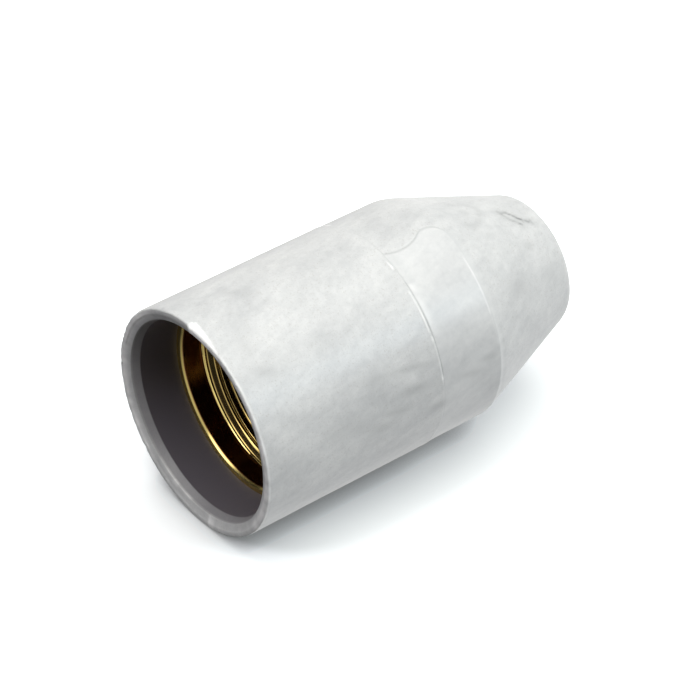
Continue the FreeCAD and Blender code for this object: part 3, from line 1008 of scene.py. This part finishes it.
# The lamps: (name, direction that the light comes from, power, width in degrees, colour)
FRONT_FROM = (-0.10, -0.72, -0.69)
LAMPS = (
    ("overhead", (0.0, -1.0, 0.06), 2.20, 70, (1.0, 0.99, 0.94)),
    ("side_box", (0.697, -0.538, 0.471), 0.56, 22, (0.80, 0.93, 1.0)),
    ("front_box", FRONT_FROM, 0.95, 16, (0.97, 0.95, 1.0)),
)

# The soft surround in diffuse light, as overlapping domes: (direction that it comes from, strength)
DOMES = (
    ((0, -1, 0), 0.12),
    ((0.42, 0.62, 0.66), 0.54),
    ((1, 0, 0), 0.08),
    ((-1, 0, 0), 0.16),
    ((0, 0, 1), 0.80),
    ((0, 0, -1), 0.05),
)


def sun(name, towards, power, spread_angle, colour):
    light = bpy.data.lights.new(name, "SUN")
    light.energy = power
    light.angle = math.radians(spread_angle)
    light.color = colour
    lamp = bpy.data.objects.new(name, light)
    lamp.rotation_mode = "QUATERNION"
    lamp.rotation_quaternion = Vector(towards).to_track_quat("Z", "Y")
    bpy.context.scene.collection.objects.link(lamp)
    return lamp


# What reflections see: a white tent that is open, and so dark, on the side towards its foot
TENT_TOP = (0.5, -0.45, 0.74)
TENT_DARK_AT = -0.65
TENT_WHITE_AT = -0.15
TENT_DARK = 0.03

# The front lamp's box in those reflections: its extra strength, and the cosines of its soft edge
BOX_STRENGTH = 2.4
BOX_EDGE = (0.90, 0.965)


def tent_light(tree):
    """Strength of the tent in each direction."""
    place = add(tree, "ShaderNodeTexCoord")
    facing = add(tree, "ShaderNodeVectorMath", [
        (0, place.outputs["Generated"]), (1, TENT_TOP)], operation="DOT_PRODUCT")
    box = add(tree, "ShaderNodeVectorMath", [
        (0, place.outputs["Generated"]), (1, Vector(FRONT_FROM).normalized())],
        operation="DOT_PRODUCT")
    tent = spread(tree, facing.outputs["Value"], TENT_DARK_AT, TENT_WHITE_AT, TENT_DARK, 1.0)
    glow = spread(tree, box.outputs["Value"], *BOX_EDGE, 0, BOX_STRENGTH)
    return math_node(tree, "ADD", tent, glow)


def dome_light(tree):
    """Strength of the surround in each direction."""
    place = add(tree, "ShaderNodeTexCoord")
    total = 0.0
    for towards, strength in DOMES:
        facing = add(tree, "ShaderNodeVectorMath", [
            (0, place.outputs["Generated"]), (1, towards)], operation="DOT_PRODUCT")
        lit = math_node(tree, "MAXIMUM", facing.outputs["Value"], 0.0)
        total = math_node(tree, "ADD", math_node(tree, "MULTIPLY", lit, strength), total)
    return total


def make_light():
    """Three soft lamps, and a surround that is white where the camera sees it. In reflections the
    tent's box stands in for the front lamp."""
    lamps = {name: sun(name, *values) for name, *values in LAMPS}
    lamps["front_box"].visible_glossy = False
    world = bpy.data.worlds.new("surround")
    bpy.context.scene.world = world
    world.use_nodes = True
    tree = world.node_tree
    tree.nodes.clear()
    path = add(tree, "ShaderNodeLightPath")
    seen = math_node(tree, "MAXIMUM", path.outputs["Is Camera Ray"],
                     path.outputs["Is Transmission Ray"])
    soft = add(tree, "ShaderNodeBackground", [
        ("Color", (1, 1, 1, 1)), ("Strength", dome_light(tree))])
    tent = add(tree, "ShaderNodeBackground", [
        ("Color", (1, 1, 1, 1)), ("Strength", tent_light(tree))])
    white = add(tree, "ShaderNodeBackground", [("Color", (1, 1, 1, 1)), ("Strength", 1.0)])
    around_it = add(tree, "ShaderNodeMixShader", [
        (0, path.outputs["Is Glossy Ray"]), (1, soft.outputs[0]), (2, tent.outputs[0])])
    mix = add(tree, "ShaderNodeMixShader", [
        (0, seen), (1, around_it.outputs[0]), (2, white.outputs[0])])
    add(tree, "ShaderNodeOutputWorld", [("Surface", mix.outputs[0])])


# The camera, worked out from the photo's circles and edges. Its clipping distances are in metres.
CAMERA_PLACE = Vector((372.34, -389.27, -265.07))
CAMERA_TARGET = Vector((7.09, -6.80, 18.31))
CAMERA_LENS = 257.27
SENSOR_WIDTH = 36
CLIP_START = 0.01
CLIP_END = 20


def make_camera():
    """The photo's camera. Its upward side is -Y, away from the table."""
    data = bpy.data.cameras.new("photo_camera")
    data.lens = CAMERA_LENS
    data.sensor_width = SENSOR_WIDTH
    data.clip_start = CLIP_START
    data.clip_end = CLIP_END
    camera = bpy.data.objects.new("photo_camera", data)
    forward = (CAMERA_TARGET - CAMERA_PLACE).normalized()
    right = forward.cross(Vector((0, -1, 0))).normalized()
    up = right.cross(forward)
    turn = Matrix((right, up, -forward)).transposed()
    camera.matrix_world = Matrix.Translation(CAMERA_PLACE * MM) @ turn.to_4x4()
    bpy.context.scene.collection.objects.link(camera)
    bpy.context.scene.camera = camera


def main():
    bpy.context.scene.view_settings.view_transform = "Standard"
    cup = make_body()
    cup.data.materials.append(grey_moulding())
    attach(cup, "root")
    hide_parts("shield_body")
    insert = make_insert()
    insert.data.materials.append(brass())
    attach(insert, "root")
    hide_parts("brass_insert")
    make_stage()
    make_light()
    make_camera()


main()
